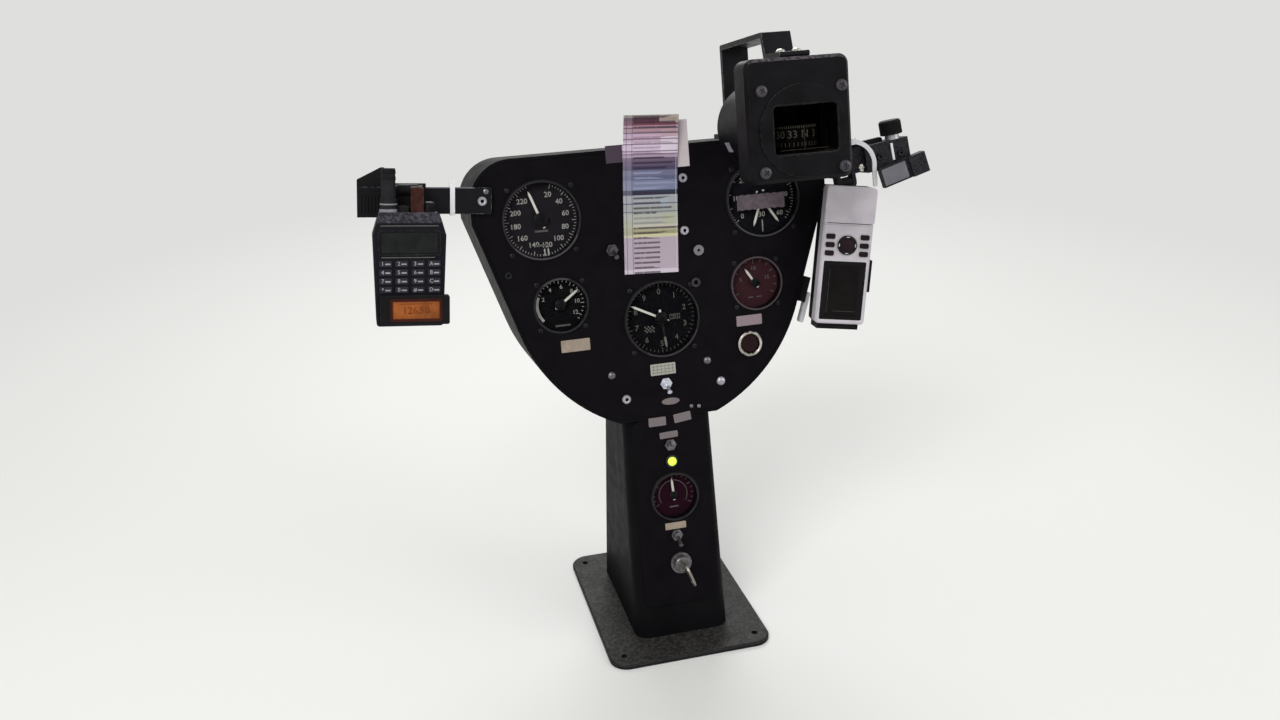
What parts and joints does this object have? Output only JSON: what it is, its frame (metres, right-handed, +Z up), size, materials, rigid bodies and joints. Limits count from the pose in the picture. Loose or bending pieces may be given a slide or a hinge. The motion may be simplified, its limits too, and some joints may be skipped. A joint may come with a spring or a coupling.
{
  "type": "gyrocopter instrument console",
  "caption": "Keystone instrument panel pod on a slim floor pedestal, with gauges, switches, compass, radio and navigator.",
  "frame": {"origin": "centre of the floor bolt pattern, on the underside of the base flange", "axes": "+Z up, -Y towards the seats, +X to the right as seen from the seats"},
  "size_m": [0.5699, 0.2533, 0.6118],
  "materials": {
    "black_gelcoat": "moulded glass fibre with black gelcoat",
    "panel_black": "fine textured black paint",
    "flange_black": "black powder coat",
    "instrument_black": "satin black enamel",
    "dial_black": "matt black with pale marks",
    "needle_white": "matt white paint",
    "instrument_glass": "clear glass",
    "bright_metal": "bright nickel plate",
    "key_steel": "nickel-plated key",
    "button_red": "dark red moulded plastic",
    "lamp_green": "lit green-yellow lens",
    "placard": "plain pale engraving plate",
    "card": "laminated card in colour bands",
    "bar_black": "black anodised, worn bright on its edges",
    "rubber": "soft black rubber",
    "radio_grey": "textured grey plastic",
    "radio_black": "textured black plastic",
    "keypad_grey": "moulded silicone rubber",
    "screen_dark": "dark display window",
    "amber": "amber display window",
    "navigator_grey": "light grey textured plastic",
    "navigator_key": "dark rubber keys",
    "clamp_grey": "satin anodised plate",
    "compass_black": "satin black enamel",
    "compass_dial": "black drum with pale marks",
    "tie_white": "natural nylon",
    "connector_brown": "dark red-brown moulded plug",
    "collar_pale": "pale turned collar",
    "lever_white": "white enamel"
  },
  "bodies": {
    "console": {"base_flange": "flange_black", "pedestal": "black_gelcoat", "pedestal_plate": "panel_black", "pod_shell": "black_gelcoat", "panel_plate": "panel_black", "airspeed_case": "instrument_black", "tachometer_case": "instrument_black", "altimeter_case": "instrument_black", "engine_gauge_case": "instrument_black", "temperature_gauge_case": "instrument_black", "pedestal_gauge_case": "instrument_black", "dial_faces": "dial_black", "needles": "needle_white", "dial_glasses": "instrument_glass", "button_ring": "bright_metal", "button_cap": "button_red", "toggle_switches": "bright_metal", "lamp_ring": "bright_metal", "lamp_lens": "lamp_green", "key_switch": "bright_metal", "key": "key_steel", "panel_fittings": "bright_metal", "placards": "placard", "checklist_card": "card", "left_bar": "bar_black", "right_bar": "bar_black", "bar_grip": "rubber", "radio_saddle": "radio_black", "clamp_block": "radio_black", "clamp_jaw": "radio_black", "clamp_plate": "clamp_grey", "clamp_knob": "radio_black", "compass_box": "compass_black", "compass_window": "instrument_glass", "compass_bracket": "bar_black", "cable_ties": "tie_white", "clamp_collar": "collar_pale", "lever_block": "rubber", "side_lever": "lever_white"},
    "radio": {"radio_holder": "radio_black", "radio_body": "radio_grey", "radio_screen": "screen_dark", "radio_keys": "keypad_grey", "radio_aerial": "rubber", "radio_knob": "radio_black", "radio_plug": "connector_brown", "display_unit": "radio_black", "display_window": "amber"},
    "navigator": {"navigator_cradle": "radio_black", "navigator_back": "radio_black", "navigator_body": "navigator_grey", "navigator_screen": "screen_dark", "navigator_keys": "navigator_key"},
    "compass_card": {"compass_card": "compass_dial"}
  },
  "joints": [
    {"name": "radio_tilt", "type": "hinge", "parent": "console", "child": "radio", "pos_m": [-0.23772, -0.00756, 0.48718], "axis": [0.9954, -0.0157, -0.0946], "range_deg": [-30, 5]},
    {"name": "navigator_tilt", "type": "hinge", "parent": "console", "child": "navigator", "pos_m": [0.19908, -0.00509, 0.45315], "axis": [0.9903, 0.0227, 0.1373], "range_deg": [-15, 5]},
    {"name": "compass_spin", "type": "hinge", "parent": "console", "child": "compass_card", "pos_m": [0.108, -0.08348, 0.50617], "axis": [0, 0.1633, 0.9866], "continuous": true}
  ]
}
